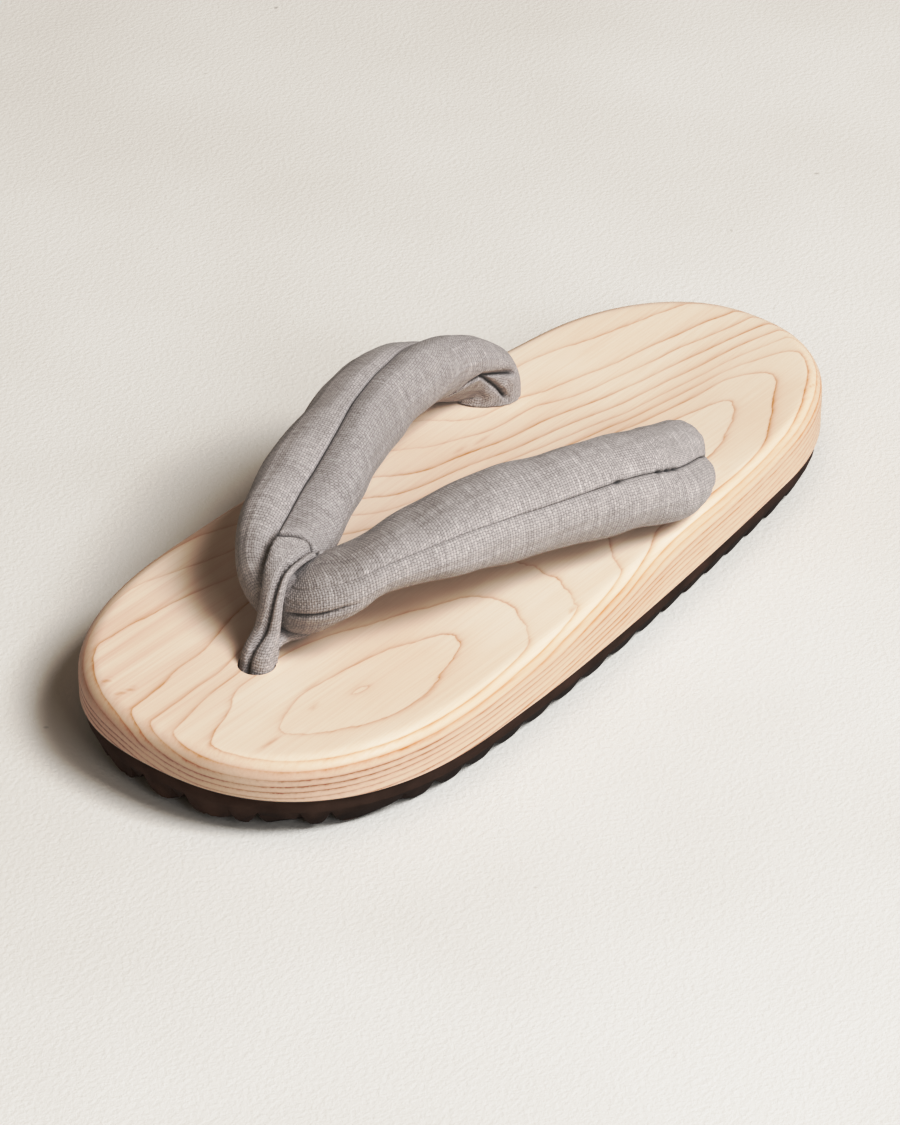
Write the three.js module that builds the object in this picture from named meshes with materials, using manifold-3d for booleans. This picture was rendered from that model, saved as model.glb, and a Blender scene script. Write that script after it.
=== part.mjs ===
// Geta sandal: a softwood base with a rounded edge, a rippled rubber outsole glued under it,
// a padded cloth strap in a V and the cloth toe loop that ties the strap down at the front.
// Millimetres. X runs to the toe, Y to the wearer's left, Z up. The origin is on the floor
// under the middle of the base. The outline is even on both sides, so it fits either foot.

import * as THREE from 'three';
import { mergeVertices } from 'three/addons/utils/BufferGeometryUtils.js';
import Module from 'manifold-3d';

// Plan of the base: full width at the ball of the foot, narrowed to the heel, both ends rounded
const LENGTH = 265;
const MAX_HALF_WIDTH = 55.4;
const HEEL_TAPER = { narrowing: 16.8, length: 175, power: 1.5 };
const HEEL_END = { length: 50, roundness: 2.3 };
const TOE_END = { length: 72, roundness: 2.4 };

// Heights of the base over the floor
const OUTSOLE_HEIGHT = 9.5;
const FOOTBED_AT_HEEL = 26.2;
const FOOTBED_AT_TOE = 24;
const TOE_SPRING = { rise: 3.8, length: 73 };
const TOP_ROUNDING = 5.2;
const LOWER_BEVEL = 0.8;

// Shallow hollows of the footbed: middle, depth, and how far each one reaches
const HOLLOWS = [
  { x: -80, depth: 1.6, reachX: 40, reachY: 30 },
  { x: 58, depth: 1.4, reachX: 42, reachY: 34 },
];

// Holes that the strap ends and the toe loop go down through
const TOE_HOLE = { x: 91.5, y: 0, radius: 5 };
const REAR_HOLE = { x: -46, y: 34.5, radius: 6 };
const PLUG_DEPTH = 11;
const PLUG_STAND = 2.5;
const GAP = 0.3;

// Outsole: a plain band stepped in under the base, then ripples with bevelled ends
const BAND = { inset: 1, height: 3.2 };
const BEVEL = { side: 4.4, end: 3 };
const RIPPLE = { pitch: 12.3, depth: 5.4, waveWidth: 14, sway: 4.2 };
const TOOTH = [
  { along: 0, rise: 1 },
  { along: 0.1, rise: 0.62 },
  { along: 0.2, rise: 0.3 },
  { along: 0.3, rise: 0.09 },
  { along: 0.4, rise: 0 },
  { along: 0.6, rise: 0 },
  { along: 0.7, rise: 0.09 },
  { along: 0.8, rise: 0.3 },
  { along: 0.9, rise: 0.62 },
];

// Strap: one row for each section of an arm, from the fold under the toe loop to the foot.
// z is over the footbed, turn is the heading of the section's width, tilt drops its outer edge.
const STRAP_ROWS = [
  { x: 73.3, y: -2.4, z: 11.2, turn: -14, halfWidth: 10.0, rise: 8.9, drop: 8.3, tilt: 0 },
  { x: 73.3, y: 2.4, z: 11.2, turn: 14, halfWidth: 10.0, rise: 8.9, drop: 8.3, tilt: 0 },
  { x: 72.1, y: 8.7, z: 16.2, turn: 38, halfWidth: 11.0, rise: 7.4, drop: 6.7, tilt: 3 },
  { x: 60.0, y: 15.0, z: 20.0, turn: 61, halfWidth: 13.4, rise: 7.9, drop: 7.0, tilt: -21 },
  { x: 40.0, y: 22.5, z: 22.0, turn: 69, halfWidth: 13.6, rise: 10.3, drop: 9.4, tilt: -5.5 },
  { x: 16.0, y: 31.1, z: 21.5, turn: 70, halfWidth: 12.6, rise: 12.1, drop: 11.1, tilt: 20 },
  { x: -8.0, y: 38.2, z: 18.8, turn: 72, halfWidth: 13.2, rise: 11.5, drop: 10.6, tilt: 25 },
  { x: -25.5, y: 41.5, z: 14.3, turn: 75, halfWidth: 13.8, rise: 10.1, drop: 8.8, tilt: 27 },
  { x: -39.9, y: 38.0, z: 10.1, turn: 64.5, halfWidth: 12.0, rise: 8.8, drop: 7.4, tilt: 33 },
  { x: -46.8, y: 34.6, z: 4.6, turn: 64, halfWidth: 10.3, rise: 6.8, drop: 6.6, tilt: 20 },
  { x: -46.3, y: 34.6, z: -7.0, turn: 64, halfWidth: 9.8, rise: 8.0, drop: 7.5, tilt: 10 },
];
const SEAM = { turn: 26, depth: 2.4, spread: 13 };
const SEAM_CROWDING = 0.5;
const FOLD_CORE = { x: 74, z: 12.9, halfLength: 9.5, halfWidth: 4.8, halfHeight: 7.1 };
const STRAP_FULLNESS = 2.25;

// Toe loop: one row for each place on its way out of the hole, round the strap and back.
// z is over the footbed. The front strand runs up and over, the back strand under. Drape is how
// much higher the band lies on the arms than in the crook between them, for each millimetre.
const FRONT_STRAND = [
  { x: 92.0, y: 0, z: -6.0, halfWidth: 4.5, halfThick: 2.2, drape: 0 },
  { x: 90.8, y: 0, z: 1.5, halfWidth: 4.5, halfThick: 2.2, drape: 0 },
  { x: 86.8, y: 0, z: 7.6, halfWidth: 3.9, halfThick: 2.0, drape: 0 },
  { x: 83.9, y: 0, z: 16.3, halfWidth: 3.7, halfThick: 1.9, drape: 0 },
  { x: 80.6, y: -1.2, z: 21.2, halfWidth: 4.2, halfThick: 1.7, drape: 0.15 },
  { x: 75.0, y: -2.6, z: 22.2, halfWidth: 5.2, halfThick: 1.6, drape: 0.4 },
  { x: 69.4, y: -3.0, z: 21.2, halfWidth: 5.6, halfThick: 1.6, drape: 0.55 },
  { x: 64.4, y: -2.2, z: 18.0, halfWidth: 5.0, halfThick: 1.6, drape: 0.6 },
  { x: 62.0, y: -0.8, z: 12.0, halfWidth: 4.2, halfThick: 1.6, drape: 0 },
];
const BACK_STRAND = [
  { x: 62.0, y: -0.8, z: 14.5, halfWidth: 4.2, halfThick: 1.6, drape: 0 },
  { x: 61.6, y: 0, z: 9.0, halfWidth: 4.0, halfThick: 1.6, drape: 0 },
  { x: 64.6, y: 0, z: 3.6, halfWidth: 3.9, halfThick: 1.5, drape: 0 },
  { x: 71.0, y: 0, z: 1.5, halfWidth: 3.8, halfThick: 1.5, drape: 0 },
  { x: 77.0, y: 0.3, z: 2.0, halfWidth: 3.7, halfThick: 1.5, drape: 0 },
  { x: 82.5, y: 0.5, z: 4.0, halfWidth: 3.6, halfThick: 1.6, drape: 0 },
  { x: 87.2, y: 0.4, z: 3.4, halfWidth: 3.6, halfThick: 1.8, drape: 0 },
  { x: 88.8, y: 0, z: -6.0, halfWidth: 3.5, halfThick: 1.9, drape: 0 },
];
const LOOP_GROOVE = 0.7;
const LOOP_FULLNESS = 2.8;

// How finely curved pieces are divided
const OUTLINE_STEPS = 38;
const SPINE_SCALE = 0.6;
const STRAP_RING = 18;
const STRAP_STEPS = 3;
const LOOP_RING = 12;
const LOOP_STEPS = 2;
const HOLE_STEPS = 28;
const SLIGHT = 0.01;

const HALF_LENGTH = LENGTH / 2;
const degrees = THREE.MathUtils.degToRad;

const wasm = await Module();
wasm.setup();

// Solids and geometries
function toSolid(geometry) {
  const bare = geometry.clone();
  bare.deleteAttribute('normal');
  bare.deleteAttribute('uv');
  const merged = mergeVertices(bare, 1e-4);
  const mesh = new wasm.Mesh({
    numProp: 3,
    vertProperties: Float32Array.from(merged.attributes.position.array),
    triVerts: Uint32Array.from(merged.index.array),
  });
  return new wasm.Manifold(mesh);
}

function toGeometry(solid) {
  const mesh = solid.getMesh();
  const geometry = new THREE.BufferGeometry();
  geometry.setAttribute('position', new THREE.BufferAttribute(mesh.vertProperties, 3));
  geometry.setIndex(new THREE.BufferAttribute(mesh.triVerts, 1));
  geometry.computeVertexNormals();
  return geometry;
}

// A skin over closed rings of equal count, each seen turning left along the way
function skin(rings, capped) {
  const count = rings[0].length;
  const positions = [];
  const index = [];
  for (const ring of rings) {
    for (const point of ring) positions.push(point.x, point.y, point.z);
  }
  for (let row = 0; row < rings.length - 1; row += 1) {
    for (let k = 0; k < count; k += 1) {
      const next = (k + 1) % count;
      const a = row * count + k;
      const b = row * count + next;
      index.push(a, b, b + count, a, b + count, a + count);
    }
  }
  if (capped) {
    const last = (rings.length - 1) * count;
    for (let k = 1; k < count - 1; k += 1) {
      index.push(0, k + 1, k);
      index.push(last, last + k, last + k + 1);
    }
  }
  const geometry = new THREE.BufferGeometry();
  geometry.setAttribute('position', new THREE.Float32BufferAttribute(positions, 3));
  geometry.setIndex(index);
  return geometry;
}

// A smooth value between the rows of a table, place counted in rows
function between(rows, column, place) {
  const last = rows.length - 1;
  const row = Math.min(Math.floor(place), last - 1);
  const t = place - row;
  const before = rows[Math.max(row - 1, 0)][column];
  const from = rows[row][column];
  const to = rows[row + 1][column];
  const after = rows[Math.min(row + 2, last)][column];
  const a = 2 * from;
  const b = to - before;
  const c = 2 * before - 5 * from + 4 * to - after;
  const d = 3 * from - before - 3 * to + after;
  return 0.5 * (a + b * t + c * t * t + d * t * t * t);
}

// Outline of the base, from the toe round the wearer's right side to the heel and back
function endRound(end, fromTip) {
  const rest = Math.max(1 - fromTip / end.length, 0);
  return Math.max(1 - rest ** end.roundness, 0) ** (1 / end.roundness);
}

function halfWidth(fromHeel) {
  const back = Math.max(1 - fromHeel / HEEL_TAPER.length, 0);
  const tapered = MAX_HALF_WIDTH - HEEL_TAPER.narrowing * back ** HEEL_TAPER.power;
  return tapered * endRound(HEEL_END, fromHeel) * endRound(TOE_END, LENGTH - fromHeel);
}

function outline() {
  const left = [];
  for (let k = 0; k <= OUTLINE_STEPS; k += 1) {
    const fromHeel = HALF_LENGTH * (1 - Math.cos((Math.PI * k) / OUTLINE_STEPS));
    left.push(new THREE.Vector2(fromHeel - HALF_LENGTH, halfWidth(fromHeel)));
  }
  const right = left.slice(1, -1).reverse().map((p) => new THREE.Vector2(p.x, -p.y));
  return [...left, ...right].reverse();
}

const OUTLINE = outline();

function insetOutline(endInset, sideInset) {
  const scaleX = 1 - endInset / HALF_LENGTH;
  const scaleY = 1 - sideInset / MAX_HALF_WIDTH;
  return OUTLINE.map((p) => new THREE.Vector2(p.x * scaleX, p.y * scaleY));
}

// Surfaces of the base
function footbedLevel(x) {
  return THREE.MathUtils.mapLinear(x, -HALF_LENGTH, HALF_LENGTH, FOOTBED_AT_HEEL, FOOTBED_AT_TOE);
}

function footbed(x, y) {
  let z = footbedLevel(x);
  for (const h of HOLLOWS) {
    z -= h.depth * Math.exp(-(((x - h.x) / h.reachX) ** 2) - (y / h.reachY) ** 2);
  }
  return z;
}

function toeLift(x) {
  const into = Math.max(x - (HALF_LENGTH - TOE_SPRING.length), 0) / TOE_SPRING.length;
  return TOE_SPRING.rise * into * into;
}

// Wooden base, grown all round by a clearance where it cuts its neighbours
function baseForm(grow) {
  const under = (p) => OUTSOLE_HEIGHT + toeLift(p.x) - grow;
  const ring = (inset, height) => insetOutline(inset - grow, inset - grow)
    .map((p) => new THREE.Vector3(p.x, p.y, height(p)));
  const inner = (share, height) => insetOutline(TOP_ROUNDING, TOP_ROUNDING).map((p) => {
    const x = p.x * THREE.MathUtils.lerp(SPINE_SCALE, 1, share);
    const y = p.y * share;
    return new THREE.Vector3(x, y, height({ x, y }));
  });
  const rings = [
    inner(0, under),
    ring(LOWER_BEVEL, under),
    ring(0, (p) => under(p) + LOWER_BEVEL),
  ];
  for (const angle of [0, 30, 60, 90]) {
    const inset = TOP_ROUNDING * (1 - Math.cos(degrees(angle)));
    const fall = TOP_ROUNDING * (1 - Math.sin(degrees(angle)));
    rings.push(ring(inset, (p) => footbed(p.x, p.y) + grow - fall));
  }
  for (const share of [0.8, 0.58, 0.36, 0.16, 0]) {
    rings.push(inner(share, (p) => footbed(p.x, p.y) + grow));
  }
  return toSolid(skin(rings, false));
}

function post(place, radius, low, high) {
  const geometry = new THREE.CylinderGeometry(radius, radius, high - low, HOLE_STEPS);
  geometry.rotateX(Math.PI / 2);
  geometry.translate(place.x, place.y, (low + high) / 2);
  return toSolid(geometry);
}

const REAR_HOLES = [REAR_HOLE, { ...REAR_HOLE, y: -REAR_HOLE.y }];

function woodBase() {
  let solid = baseForm(0);
  for (const hole of [TOE_HOLE, ...REAR_HOLES]) {
    solid = solid.subtract(post(hole, hole.radius, 0, FOOTBED_AT_HEEL + TOP_ROUNDING));
  }
  return solid;
}

// Outsole: the bevelled body, cut below by a sheet of swaying crosswise ripples
function outsoleBody() {
  const ring = (endInset, sideInset, height) => insetOutline(endInset, sideInset)
    .map((p) => new THREE.Vector3(p.x, p.y, height + toeLift(p.x)));
  const top = OUTSOLE_HEIGHT - GAP;
  const rings = [
    ring(BEVEL.end, BEVEL.side, -1),
    ring(BEVEL.end, BEVEL.side, 0),
    ring(BAND.inset, BAND.inset, top - BAND.height),
    ring(BAND.inset, BAND.inset, top),
  ];
  const spine = (height) => OUTLINE.map((p) => {
    const x = p.x * SPINE_SCALE;
    return new THREE.Vector3(x, 0, height + toeLift(x));
  });
  return toSolid(skin([spine(-1), ...rings, spine(top)], false));
}

function rippleSheet() {
  const teeth = Math.ceil(LENGTH / RIPPLE.pitch) + 2;
  const columns = 2 * Math.ceil((2 * MAX_HALF_WIDTH) / RIPPLE.waveWidth) + 2;
  const spacing = RIPPLE.waveWidth / 2;
  const lower = [];
  const upper = [];
  for (let tooth = 0; tooth < teeth; tooth += 1) {
    for (const point of TOOTH) {
      const x = HALF_LENGTH + RIPPLE.pitch - (tooth + point.along) * RIPPLE.pitch;
      const lowerRow = [];
      const upperRow = [];
      for (let c = 0; c <= columns; c += 1) {
        const y = (c - columns / 2) * spacing;
        const swayed = x + (c % 2 ? RIPPLE.sway : -RIPPLE.sway);
        lowerRow.push(new THREE.Vector3(swayed, y, toeLift(x) + point.rise * RIPPLE.depth));
        upperRow.push(new THREE.Vector3(swayed, y, 2 * OUTSOLE_HEIGHT));
      }
      lower.push(lowerRow);
      upper.push(upperRow);
    }
  }
  const rings = lower.map((row, k) => [...upper[k], ...row.slice().reverse()]);
  return toSolid(skin(rings, true));
}

// Strap arm: padded sections along the table, side 1 to the wearer's left and -1 to the right
function strapSection(place, side, grow) {
  const value = (column) => between(STRAP_ROWS, column, place);
  const last = STRAP_ROWS.length - 1;
  const point = (at) => {
    const x = between(STRAP_ROWS, 'x', at);
    return new THREE.Vector3(
      x,
      between(STRAP_ROWS, 'y', at),
      between(STRAP_ROWS, 'z', at) + footbedLevel(x),
    );
  };
  const middle = point(place);
  const ahead = point(Math.min(place + SLIGHT, last));
  const along = ahead.sub(point(Math.max(place - SLIGHT, 0))).normalize();
  const turn = degrees(value('turn'));
  const outward = new THREE.Vector3(Math.cos(turn), Math.sin(turn), 0);
  outward.addScaledVector(along, -outward.dot(along)).normalize();
  const upward = new THREE.Vector3().crossVectors(outward, along);
  outward.applyAxisAngle(along, degrees(value('tilt')));
  upward.applyAxisAngle(along, degrees(value('tilt')));
  const seamAngle = side * degrees(SEAM.turn) * THREE.MathUtils.smoothstep(place, 0.5, 3);
  const ring = [];
  for (let k = 0; k < STRAP_RING; k += 1) {
    const even = (2 * Math.PI * k) / STRAP_RING;
    const fromSeam = even - SEAM_CROWDING * Math.sin(even);
    const angle = fromSeam + seamAngle;
    const power = 2 / STRAP_FULLNESS;
    const across = Math.sign(Math.sin(angle)) * Math.abs(Math.sin(angle)) ** power;
    const over = Math.sign(Math.cos(angle)) * Math.abs(Math.cos(angle)) ** power;
    const fromTop = Math.min(fromSeam, 2 * Math.PI - fromSeam);
    const groove = SEAM.depth * Math.exp(-((fromTop / degrees(SEAM.spread)) ** 2));
    const height = over > 0 ? value('rise') : value('drop');
    const size = 1 - groove / height;
    const spot = middle.clone();
    spot.addScaledVector(outward, across * (value('halfWidth') * size + grow));
    spot.addScaledVector(upward, over * (height * size + grow));
    spot.y *= side;
    ring.push(spot);
  }
  return side > 0 ? ring : ring.reverse();
}

function strapArm(side, grow) {
  const rings = [];
  const steps = (STRAP_ROWS.length - 1) * STRAP_STEPS;
  for (let k = 0; k <= steps; k += 1) rings.push(strapSection(k / STRAP_STEPS, side, grow));
  return toSolid(skin(rings, true));
}

// Sewn-down padding in the crook of the fold, where the two arms meet
function foldCore() {
  const geometry = new THREE.SphereGeometry(1, 12, 8);
  geometry.scale(FOLD_CORE.halfLength, FOLD_CORE.halfWidth, FOLD_CORE.halfHeight);
  geometry.translate(FOLD_CORE.x, 0, FOLD_CORE.z + footbedLevel(FOLD_CORE.x));
  return toSolid(geometry);
}

function strapForm(grow) {
  return strapArm(1, grow).add(strapArm(-1, grow)).add(foldCore());
}

function plug(hole) {
  const floor = footbed(hole.x, hole.y);
  return post(hole, hole.radius - GAP, floor - PLUG_DEPTH, floor + PLUG_STAND);
}

function strap() {
  let solid = strapForm(0).subtract(baseForm(GAP));
  for (const hole of REAR_HOLES) solid = solid.add(plug(hole));
  return solid;
}

// Toe loop: a folded band with a groove down its outer face
function strand(rows) {
  const rings = [];
  const steps = (rows.length - 1) * LOOP_STEPS;
  const point = (at) => {
    const x = between(rows, 'x', at);
    return new THREE.Vector3(x, between(rows, 'y', at), between(rows, 'z', at) + footbedLevel(x));
  };
  for (let s = 0; s <= steps; s += 1) {
    const place = s / LOOP_STEPS;
    const ahead = point(Math.min(place + SLIGHT, rows.length - 1));
    const along = ahead.sub(point(Math.max(place - SLIGHT, 0))).normalize();
    const outer = new THREE.Vector3(along.z, 0, -along.x).normalize();
    const ring = [];
    for (let k = 0; k < LOOP_RING; k += 1) {
      const angle = (2 * Math.PI * k) / LOOP_RING;
      const onOuterMiddle = k === 0;
      const thick = between(rows, 'halfThick', place) - (onOuterMiddle ? LOOP_GROOVE : 0);
      const power = 2 / LOOP_FULLNESS;
      const across = Math.sign(Math.sin(angle)) * Math.abs(Math.sin(angle)) ** power;
      const over = Math.sign(Math.cos(angle)) * Math.abs(Math.cos(angle)) ** power;
      const spot = point(place);
      spot.y += across * between(rows, 'halfWidth', place);
      spot.addScaledVector(outer, over * thick);
      spot.z += between(rows, 'drape', place) * Math.abs(spot.y);
      ring.push(spot);
    }
    rings.push(ring);
  }
  return toSolid(skin(rings, true));
}

function toeLoop() {
  return strand(FRONT_STRAND)
    .add(strand(BACK_STRAND))
    .subtract(strapForm(GAP))
    .subtract(baseForm(GAP))
    .add(plug(TOE_HOLE));
}

// Assembly
function piece(name, solid, color, roughness) {
  const material = new THREE.MeshStandardMaterial({ color, roughness, metalness: 0 });
  const mesh = new THREE.Mesh(toGeometry(solid), material);
  mesh.name = name;
  return mesh;
}

const geta = new THREE.Group();
geta.add(piece('rubber_outsole', outsoleBody().intersect(rippleSheet()), 0x2e241d, 0.85));
geta.add(piece('wood_base', woodBase(), 0xebd0b8, 0.55));
geta.add(piece('strap', strap(), 0xb5b0ab, 0.95));
geta.add(piece('toe_loop', toeLoop(), 0xada8a3, 0.95));

export default geta;
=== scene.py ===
import math

import bmesh
import bpy
import numpy as np
from mathutils import Matrix, Vector


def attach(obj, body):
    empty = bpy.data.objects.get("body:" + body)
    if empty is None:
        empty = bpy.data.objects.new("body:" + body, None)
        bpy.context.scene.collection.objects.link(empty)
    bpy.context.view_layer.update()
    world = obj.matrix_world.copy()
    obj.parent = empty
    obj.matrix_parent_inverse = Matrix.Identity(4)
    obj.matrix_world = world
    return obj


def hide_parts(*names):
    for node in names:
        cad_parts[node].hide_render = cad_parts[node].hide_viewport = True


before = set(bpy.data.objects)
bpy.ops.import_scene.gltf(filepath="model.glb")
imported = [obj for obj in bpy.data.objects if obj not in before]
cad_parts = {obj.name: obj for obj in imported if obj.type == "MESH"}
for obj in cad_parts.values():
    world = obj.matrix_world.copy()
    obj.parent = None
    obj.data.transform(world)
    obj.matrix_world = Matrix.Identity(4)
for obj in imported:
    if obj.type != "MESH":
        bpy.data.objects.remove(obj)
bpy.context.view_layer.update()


# Rubber outsole: one moulded sheet of dark brown sponge rubber with zig-zag ripples below,
# cut to the outline of the base and glued under it. Its edges are worn a little round.
MM = 0.001
RUBBER_BROWN = (0.008, 0.0045, 0.0032, 1.0)
RUBBER_LIT_DUST = (0.086, 0.0435, 0.0300, 1.0)
RUBBER_EDGE_ROUNDING = 0.35 * MM
RUBBER_EDGE_ANGLE = math.radians(28)
RUBBER_FLAT_ANGLE = math.radians(0.6)
RUBBER_SHARP_ANGLE = math.radians(40)


def put_in_scene(name, mesh):
    piece = bpy.data.objects.new(name, mesh)
    bpy.context.scene.collection.objects.link(piece)
    return piece


def as_plain_mesh(piece):
    """Turns a piece with modifiers into a piece with a plain mesh."""
    bpy.context.view_layer.update()
    seen = piece.evaluated_get(bpy.context.evaluated_depsgraph_get())
    mesh = bpy.data.meshes.new_from_object(seen)
    piece.modifiers.clear()
    piece.data = mesh
    return mesh


def finish_surface(mesh, sharp_from, material):
    """Shades a mesh smooth up to an angle and gives it one material."""
    mesh.shade_smooth()
    mesh.set_sharp_from_angle(angle=sharp_from)
    mesh.materials.clear()
    mesh.materials.append(material)


def connect(material, value, socket):
    if isinstance(value, bpy.types.NodeSocket):
        material.node_tree.links.new(value, socket)
    else:
        socket.default_value = value


def add_node(material, kind, inputs=None, **settings):
    node = material.node_tree.nodes.new("ShaderNode" + kind)
    for name, value in settings.items():
        setattr(node, name, value)
    for key, value in (inputs or {}).items():
        connect(material, value, node.inputs[key])
    return node


def calc(material, operation, *values):
    node = add_node(material, "Math", operation=operation)
    for k, value in enumerate(values):
        connect(material, value, node.inputs[k])
    return node.outputs[0]


def times(material, first, second):
    return calc(material, "MULTIPLY", first, second)


def mix_colours(material, share, first, second):
    node = add_node(material, "Mix", data_type="RGBA")
    factor, colour_a, colour_b, mixed = 0, 6, 7, 2
    connect(material, share, node.inputs[factor])
    connect(material, first, node.inputs[colour_a])
    connect(material, second, node.inputs[colour_b])
    return node.outputs[mixed]


def stretched_noise(material, coordinates, scale, detail=3.0, roughness=0.5):
    mapping = add_node(material, "Mapping", {"Vector": coordinates, "Scale": scale})
    inputs = {"Vector": mapping.outputs[0], "Scale": 1.0, "Detail": detail, "Roughness": roughness}
    return add_node(material, "TexNoise", inputs).outputs[0]


def remap(material, value, low, high, to_low, to_high):
    """Carries values between low and high over to another range and holds them at its ends."""
    inputs = {"Value": value, 1: low, 2: high, 3: to_low, 4: to_high}
    return add_node(material, "MapRange", inputs, clamp=True).outputs[0]


def facing_up(material):
    """One on a level face that looks up, nothing on an upright one and minus one below."""
    facing = add_node(material, "NewGeometry").outputs["Normal"]
    return add_node(material, "SeparateXYZ", {0: facing}).outputs[2]


def start_material(name):
    material = bpy.data.materials.new(name)
    material.use_nodes = True
    shader = material.node_tree.nodes["Principled BSDF"]
    return material, shader


def add_bump(material, shader, height, strength, distance):
    inputs = {"Height": height, "Strength": strength, "Distance": distance}
    bump = add_node(material, "Bump", inputs)
    connect(material, bump.outputs[0], shader.inputs["Normal"])


def sponge_rubber():
    rubber, shader = start_material("sponge_rubber")
    place = add_node(rubber, "TexCoord").outputs["Object"]
    pores = stretched_noise(rubber, place, (1800.0, 1800.0, 1800.0), detail=4.0, roughness=0.6)
    patches = stretched_noise(rubber, place, (90.0, 90.0, 160.0))
    # Faces that look sideways or up are painted lighter, as light, with patches of dust in it; faces
    # that look down stay near black
    lit_faces = remap(rubber, facing_up(rubber), -0.75, -0.20, 0.0, 1.0)
    lit_dust = times(rubber, remap(rubber, patches, 0.35, 0.7, 0.35, 0.9), lit_faces)
    colour = mix_colours(rubber, lit_dust, RUBBER_BROWN, RUBBER_LIT_DUST)
    connect(rubber, colour, shader.inputs["Base Color"])
    connect(rubber, remap(rubber, pores, 0.3, 0.7, 0.72, 0.92), shader.inputs["Roughness"])
    shader.inputs["Specular IOR Level"].default_value = 0.12
    add_bump(rubber, shader, pores, strength=0.35, distance=0.15 * MM)
    return rubber


outsole_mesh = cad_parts["rubber_outsole"].data.copy()
merged = bmesh.new()
merged.from_mesh(outsole_mesh)
bmesh.ops.remove_doubles(merged, verts=merged.verts, dist=0.002 * MM)
bmesh.ops.dissolve_limit(merged, angle_limit=RUBBER_FLAT_ANGLE, verts=merged.verts, edges=merged.edges)
merged.to_mesh(outsole_mesh)
merged.free()
outsole = put_in_scene("outsole", outsole_mesh)
edge_rounding = outsole.modifiers.new("edge_rounding", "BEVEL")
edge_rounding.width = RUBBER_EDGE_ROUNDING
edge_rounding.segments = 2
edge_rounding.limit_method = "ANGLE"
edge_rounding.angle_limit = RUBBER_EDGE_ANGLE
finish_surface(as_plain_mesh(outsole), RUBBER_SHARP_ANGLE, sponge_rubber())
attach(outsole, "root")
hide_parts("rubber_outsole")


# Wooden base: one flat-sawn board of pale softwood, its top edge rounded over and its footbed
# sanded to a satin, with three holes bored through it for the strap. Sizes are in millimetres.
LENGTH = 265.0
MAX_HALF_WIDTH = 55.4
HEEL_TAPER = {"narrowing": 16.8, "length": 175.0, "power": 1.5}
HEEL_END = {"length": 50.0, "roundness": 2.3}
TOE_END = {"length": 72.0, "roundness": 2.4}
OUTSOLE_HEIGHT = 9.5
FOOTBED_AT_HEEL = 26.2
FOOTBED_AT_TOE = 24.0
TOE_SPRING = {"rise": 3.8, "length": 73.0}
TOP_ROUNDING = 5.2
LOWER_BEVEL = 0.8
HOLLOWS = ({"x": -80.0, "depth": 1.6, "reach_x": 40.0, "reach_y": 30.0},
           {"x": 58.0, "depth": 1.4, "reach_x": 42.0, "reach_y": 34.0})
HOLES = ({"x": 91.5, "y": 0.0, "radius": 5.0},
         {"x": -46.0, "y": 34.5, "radius": 6.0},
         {"x": -46.0, "y": -34.5, "radius": 6.0})
DRILL = {"middle": 20.0, "length": 60.0, "sides": 56}
OUTLINE_STEPS = 210
WALL_RINGS = 9
ROUNDING_RINGS = 13
TOP_SHARES = 40
SPINE_SCALE = 0.6
WOOD_SHARP_ANGLE = math.radians(35)
YEAR_RING = 1.75
WIDEST_RING = 40.0
YEAR_LINE = {"soft_side": 0.50, "sharp_side": 0.16, "halo": 2.6, "strength": 0.90, "halo_strength": 0.20,
             "fray": 1.0, "fray_middle": 0.42, "ripple": 0.24, "wander": 1.0, "thinner_on_side": 1.3,
             "bolder_at_toe": 0.55, "relief": 0.6}
EARLY_WOOD = (0.825, 0.676, 0.552, 1.0)
PALE_WOOD = (0.862, 0.752, 0.640, 1.0)
SIDE_WOOD_PAINTED_SHADE = (0.640, 0.505, 0.405, 1.0)
LATE_WOOD = (0.530, 0.230, 0.085, 1.0)
LATE_AT_TOE = (0.300, 0.120, 0.070, 1.0)
BLUSH_WOOD = (0.730, 0.490, 0.380, 1.0)

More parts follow.
